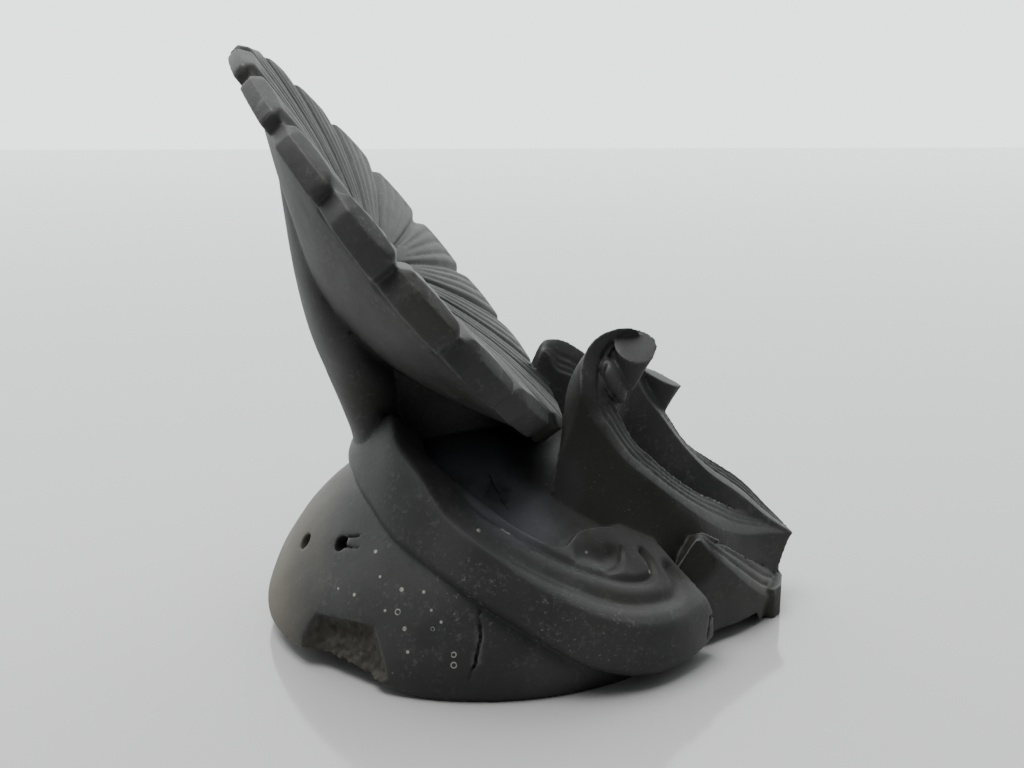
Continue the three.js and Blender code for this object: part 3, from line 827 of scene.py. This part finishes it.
# Sizes of the clay's markings, as the scale of their noise
CLOUD_SCALE = 16.0
STAIN_SCALE = 11.0
MOTTLE_SCALE = 70.0
FINE_SCALE = 420.0
SPECKLE_SCALE = 520.0
DUST_SCALE = 760.0
GRAIN_SCALE = 1500.0
WAVER_SCALE = 160.0
WAVER = 0.004
BUMP_DEPTH = 0.00035

# Places painted darker as shade on the near wave wall under the flower, and bluer and speckled places:
# where they are and how far they reach, in millimetres
PAINTED_SHADE_PLACES = [
    ((39, -49, 104), 30), ((50, -54, 76), 38), ((72, -55, 56), 40), ((95, -48, 46), 22),
    ((22, -50, 98), 22),
]
BLUISH = [((13, -62, 76), 34), ((-8, -30, 92), 26), ((30, -57, 83), 22)]
SPECKLED = [((-12, -98, 48), 26), ((27, -108, 38), 22), ((52, -106, 26), 26)]
# White spots of lime: bearing and height on the hood, or a place, and the radius in millimetres
HOOD_SPOTS = [
    (-112, 24.9, 1.2), (-110.5, 20.1, 0.9), (-113.8, 15, 1.0), (-105.8, 29.5, 0.8), (-103.1, 27.1, 0.8),
    (-128.1, 29.8, 1.0), (-126.5, 40.3, 1.1), (-114.7, 33.1, 1.2), (-108.5, 33.2, 0.9), (-118, 28, 0.8),
    (-122, 35, 0.8), (-131, 22, 0.9), (-134, 30, 0.7), (-120, 44, 0.7),
]
HOOD_RINGS = [(-99.6, 20.4, 1.3), (-99.5, 18.2, 1.5), (-114.5, 28.2, 1.5), (-105, 25.5, 1.0)]
SPOTS = [
    (-6.5, -85.3, 69.4, 1.7), (4.5, -80.3, 67.9, 1.9), (6.5, -81.0, 66.5, 1.6), (41.5, -79, 56.8, 1.1),
    (50.8, -75.2, 55.6, 1.0), (117.6, -39.6, 34.5, 1.8), (118.7, -42.1, 29.9, 1.3),
    (-17.8, -105.8, 157, 1.7),
]
RINGS = [(71.4, -74, 45.3, 1.7), (18, -66, 70, 1.3)]


class Socket:
    """A node's output that can be used in shader maths. One without a link only adds nodes."""

    def __init__(self, tree, link=None):
        self.tree = tree
        self.link = link

    def node(self, kind, settings=None, output=0, **values):
        """Adds a node: its settings first, then values or links by socket name or number."""
        node = self.tree.nodes.new(kind)
        for name, value in (settings or {}).items():
            setattr(node, name, value)
        for name, value in values.items():
            socket = node.inputs[int(name)] if name.isdigit() else node.inputs[name]
            if isinstance(value, Socket):
                value.into(socket)
            else:
                socket.default_value = value
        return Socket(self.tree, node.outputs[output])

    def into(self, socket):
        self.tree.links.new(self.link, socket)

    def maths(self, operation, first, second):
        return self.node('ShaderNodeMath', {"operation": operation}, **{"0": first, "1": second})

    def __add__(self, other):
        return self.maths('ADD', self, other)

    def __radd__(self, other):
        return self.maths('ADD', other, self)

    def __sub__(self, other):
        return self.maths('SUBTRACT', self, other)

    def __rsub__(self, other):
        return self.maths('SUBTRACT', other, self)

    def __mul__(self, other):
        return self.maths('MULTIPLY', self, other)

    def __rmul__(self, other):
        return self.maths('MULTIPLY', other, self)

    def ramp(self, low, high):
        """0 at low and before it, 1 at high and beyond."""
        settings = {"clamp": True, "interpolation_type": 'SMOOTHSTEP'}
        ends = {"0": self, "1": low, "2": high, "3": 0.0, "4": 1.0}
        return self.node('ShaderNodeMapRange', settings, **ends)


def smoked_clay():
    """Matt charcoal clay, lighter on edges from wear and painted highlight, with painted shade in grooves,
    under and in front of the flower and on the near wave wall, blue in the hollows and tan at the rear.
    """
    material = bpy.data.materials.new("smoked_clay")
    material.use_nodes = True
    tree = material.node_tree
    shader = tree.nodes["Principled BSDF"]
    nodes = Socket(tree)
    place = nodes.node('ShaderNodeTexCoord', output=3)

    def noise(scale, detail=4.0, rough=0.55):
        return place.node('ShaderNodeTexNoise', Vector=place, Scale=scale, Detail=detail, Roughness=rough)

    def mask(name):
        return nodes.node('ShaderNodeAttribute', {"attribute_name": name}, output=2)

    def blend(a, b, factor):
        return nodes.node('ShaderNodeMix', {"data_type": 'RGBA'}, output=2, **{"0": factor, "6": a, "7": b})

    def gap(point, start=place):
        """The distance from a place given in millimetres."""
        ends = {"0": start, "1": tuple(in_frame(point))}
        return start.node('ShaderNodeVectorMath', {"operation": 'DISTANCE'}, output=1, **ends)

    def patch(places):
        """1 in the middle of the places, fading to 0 at their reach."""
        total = 0.0
        for point, reach in places:
            total = gap(point, wavering).ramp(reach * MM, 0.35 * reach * MM) + total
        return total.ramp(0, 1)

    def dot(point, radius):
        """1 on a small round spot."""
        return gap(point).ramp(radius * MM, 0.6 * radius * MM)

    def circle(point, radius):
        """1 on the rim of a spot that is worn through in its middle."""
        middle = gap(point)
        outer = middle.ramp(radius * MM, 0.85 * radius * MM)
        return outer * middle.ramp(0.5 * radius * MM, 0.75 * radius * MM)

    waver = place.node('ShaderNodeTexNoise', output=1, Vector=place, Scale=WAVER_SCALE, Detail=3.0)
    wavering = place.node('ShaderNodeVectorMath', {"operation": 'MULTIPLY_ADD'},
                          **{"0": waver, "1": (WAVER, WAVER, WAVER), "2": place})
    x, y, z = (place.node('ShaderNodeSeparateXYZ', output=k, Vector=place) for k in range(3))
    cloud = noise(CLOUD_SCALE)
    mottle = noise(MOTTLE_SCALE, 5.0)
    fine = noise(FINE_SCALE, 4.0, 0.6)
    grain = noise(GRAIN_SCALE, 2.0)

    color = blend(CHARCOAL, SLATE, cloud.ramp(0.38, 0.66))
    color = blend(color, OLIVE, noise(STAIN_SCALE, 5.0).ramp(0.56, 0.74) * 0.55)
    color = blend(color, BLUE, (mask("hollow") * 0.6 + patch(BLUISH)).ramp(0, 1))
    # Painted shade: the calyx under the flower and the front of the flower's cup are darkened where shade
    # falls
    facing = x * 0.77 + z * 0.64
    calyx = facing.ramp(0.02, 0.035) * facing.ramp(0.062, 0.056) * z.ramp(0.1, 0.13)
    cup = facing.ramp(0.072, 0.078) * z.ramp(0.14, 0.16)
    color = blend(color, PAINTED_SHADE, calyx * 0.62 + cup * 0.45)
    color = blend(color, WORN_AND_HIGHLIGHT, fine.ramp(0.52, 0.72) * mottle.ramp(0.4, 0.6) * 0.3)
    scuffs = (mottle * fine).ramp(0.26, 0.38)
    color = blend(color, WORN_AND_HIGHLIGHT, scuffs * 0.08)
    # Painted shade on the near wave wall, where the flower's shadow falls
    color = blend(color, PAINTED_SHADE, patch(PAINTED_SHADE_PLACES) * 0.9)
    # Convex edges made lighter: edge wear and a painted highlight
    edge = mask("worn_and_highlight") * (0.35 + 0.9 * mottle)
    color = blend(color, WORN_AND_HIGHLIGHT, edge.ramp(0.1, 0.95))
    # Painted shade: grooves and creases darkened
    color = blend(color, SOOT_AND_SHADE, mask("deep") * 0.5)
    rear = (x * -1.0 + y * 0.3 + (cloud - 0.5) * 0.05).ramp(0.07, 0.128)
    low = z.ramp(0.115, 0.085)
    color = blend(color, TAN, rear * low * 0.85)
    color = blend(color, BROKEN, mask("chipped") * (0.55 + 0.6 * fine))
    color = blend(color, SOOT_AND_SHADE, mask("broken") * 0.45)
    color = blend(color, SOOT_AND_SHADE, mask("crack").ramp(0.25, 0.8))
    dust = noise(DUST_SCALE, 2.0, 0.5).ramp(0.68, 0.74) * mottle.ramp(0.42, 0.58)
    color = blend(color, WORN_AND_HIGHLIGHT, dust * 0.5)
    speckles = noise(SPECKLE_SCALE, 3.0, 0.7).ramp(0.6, 0.68) * patch(SPECKLED)
    color = blend(color, WORN_AND_HIGHLIGHT, speckles)
    marks = 0.0
    for bearing, height, radius in HOOD_SPOTS:
        marks = dot(on_hood(bearing, height, HOOD_RADIUS), radius) + marks
    for *point, radius in SPOTS:
        marks = dot(point, radius) + marks
    for *point, radius in RINGS:
        marks = circle(point, radius) + marks
    for bearing, height, radius in HOOD_RINGS:
        marks = circle(on_hood(bearing, height, HOOD_RADIUS), radius) + marks
    color = blend(color, LIME, marks * fine.ramp(0.3, 0.52))
    color.into(shader.inputs["Base Color"])
    shader.inputs["Specular IOR Level"].default_value = SPECULAR

    roughness = 0.46 + 0.16 * mottle + 0.14 * mask("chipped") + 0.06 * fine
    roughness.into(shader.inputs["Roughness"])
    height = 0.5 * fine + 0.3 * grain + 0.6 * mottle + mask("chipped") * fine
    bump = nodes.node('ShaderNodeBump', Strength=0.5, Distance=BUMP_DEPTH, Height=height)
    bump.into(shader.inputs["Normal"])
    return material


# Stage

CAMERA_AZIMUTH = -3.57
CAMERA_ELEVATION = 13.0
CAMERA_FOCUS_PX = 1230.0
CAMERA_AT = (-23.0, -584.7, 249.8)
PICTURE_WIDE_PX = 1024
SENSOR_MM = 36.0
BACKDROP = 2.5
ROOM = 0.2
BRIGHT_SIDE = (-0.1, 0.97, 0.2)
ROOM_COLOR = (0.93, 0.96, 0.97, 1)
FLOOR_COLOR = (0.47, 0.475, 0.465, 1)
FLOOR_ROUGHNESS = 0.1
FLOOR_SIZE = 12
LAMP_AT = (-0.3, -0.2, 1.22)
LAMP_AIM = (0, 0, 0.1)
LAMP_SIZE = (0.9, 0.7)
LAMP_WATTS = 16


def camera():
    data = bpy.data.cameras.new("camera")
    data.sensor_width = SENSOR_MM
    data.lens = SENSOR_MM * CAMERA_FOCUS_PX / PICTURE_WIDE_PX
    data.clip_start = 0.01
    thing = bpy.data.objects.new("camera", data)
    bpy.context.collection.objects.link(thing)
    thing.location = in_frame(CAMERA_AT)
    thing.rotation_euler = (
        math.radians(90 - CAMERA_ELEVATION), 0, math.radians(CAMERA_AZIMUTH))
    bpy.context.scene.camera = thing


def lamp():
    data = bpy.data.lights.new("overhead", 'AREA')
    data.shape = 'RECTANGLE'
    data.size, data.size_y = LAMP_SIZE
    data.energy = LAMP_WATTS
    thing = bpy.data.objects.new("overhead", data)
    bpy.context.collection.objects.link(thing)
    thing.location = LAMP_AT
    thing.rotation_euler = (Vector(LAMP_AIM) - Vector(LAMP_AT)).to_track_quat('-Z', 'Y').to_euler()


def pale_floor():
    bpy.ops.object.select_all(action='DESELECT')
    bpy.ops.mesh.primitive_plane_add(size=FLOOR_SIZE, location=(0, 0, 0))
    floor = bpy.context.object
    floor.name = "floor"
    material = bpy.data.materials.new("floor")
    material.use_nodes = True
    shader = material.node_tree.nodes["Principled BSDF"]
    shader.inputs["Base Color"].default_value = FLOOR_COLOR
    shader.inputs["Roughness"].default_value = FLOOR_ROUGHNESS
    floor.data.materials.append(material)


def room():
    """Soft light all round, brighter behind the tile."""
    world = bpy.data.worlds.new("room")
    bpy.context.scene.world = world
    world.use_nodes = True
    tree = world.node_tree
    way = Socket(tree).node('ShaderNodeTexCoord')
    toward = way.node('ShaderNodeVectorMath', {"operation": 'DOT_PRODUCT'}, output=1,
                      **{"0": way, "1": BRIGHT_SIDE})
    glow = toward.ramp(-0.2, 0.75) * (BACKDROP - ROOM) + ROOM
    background = tree.nodes["Background"]
    background.inputs["Color"].default_value = ROOM_COLOR
    glow.into(background.inputs["Strength"])


body = tile()
finish_surface(body)
body.data.materials.clear()
body.data.materials.append(smoked_clay())
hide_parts(NODE)
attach(body, "root")
camera()
pale_floor()
room()
lamp()
